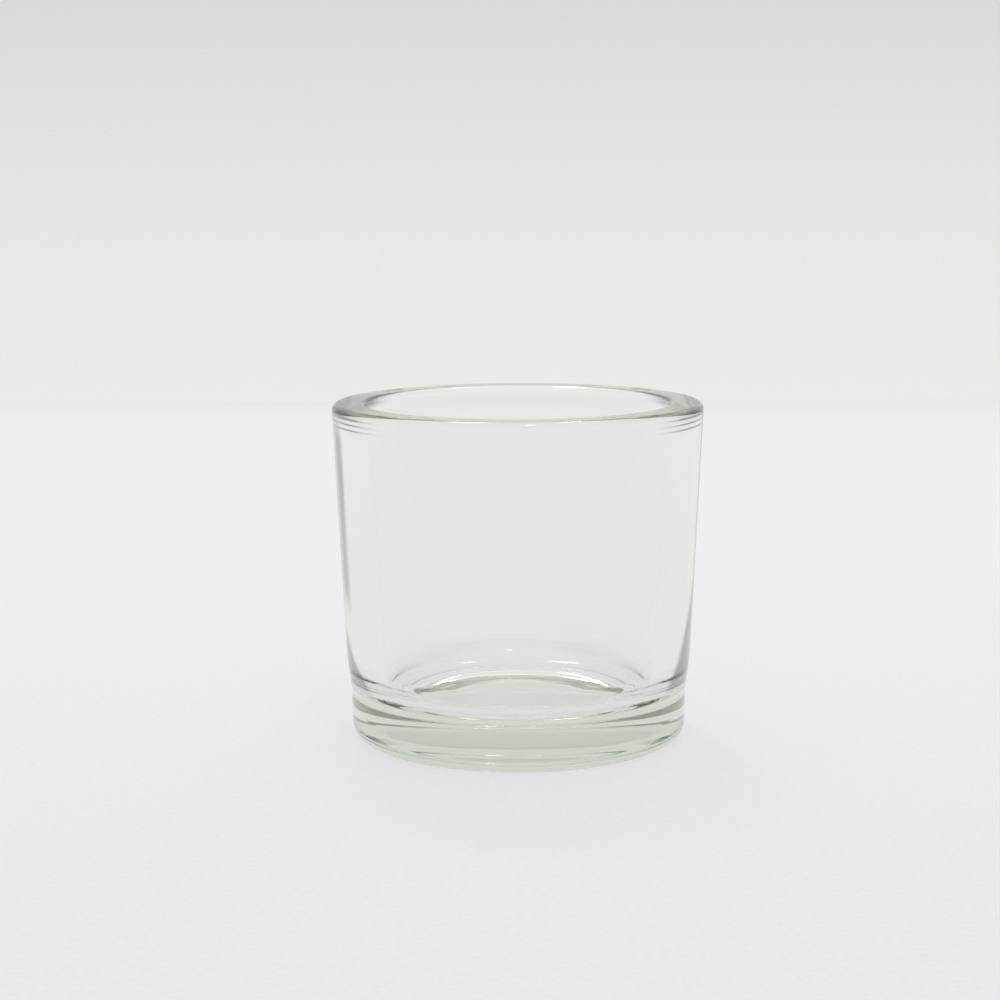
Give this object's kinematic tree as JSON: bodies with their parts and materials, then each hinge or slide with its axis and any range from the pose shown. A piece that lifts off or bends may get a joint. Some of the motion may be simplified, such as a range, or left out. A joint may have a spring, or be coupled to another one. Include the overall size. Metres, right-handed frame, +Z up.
{
  "type": "tealight holder",
  "caption": "Heavy clear pressed-glass tealight holder: slightly tapered round cup with a thick rim, a solid base and a flat tealight floor.",
  "frame": {"origin": "centre of the underside, on the surface the holder stands on", "axes": "+Z up along the cup's axis of revolution, towards the open mouth; X and Y are interchangeable"},
  "size_m": [0.071, 0.071, 0.065],
  "materials": {
    "clear_glass": "fire-polished clear pressed soda glass with a faint green cast"
  },
  "bodies": {
    "root": {"glass_holder": "clear_glass"}
  },
  "joints": []
}
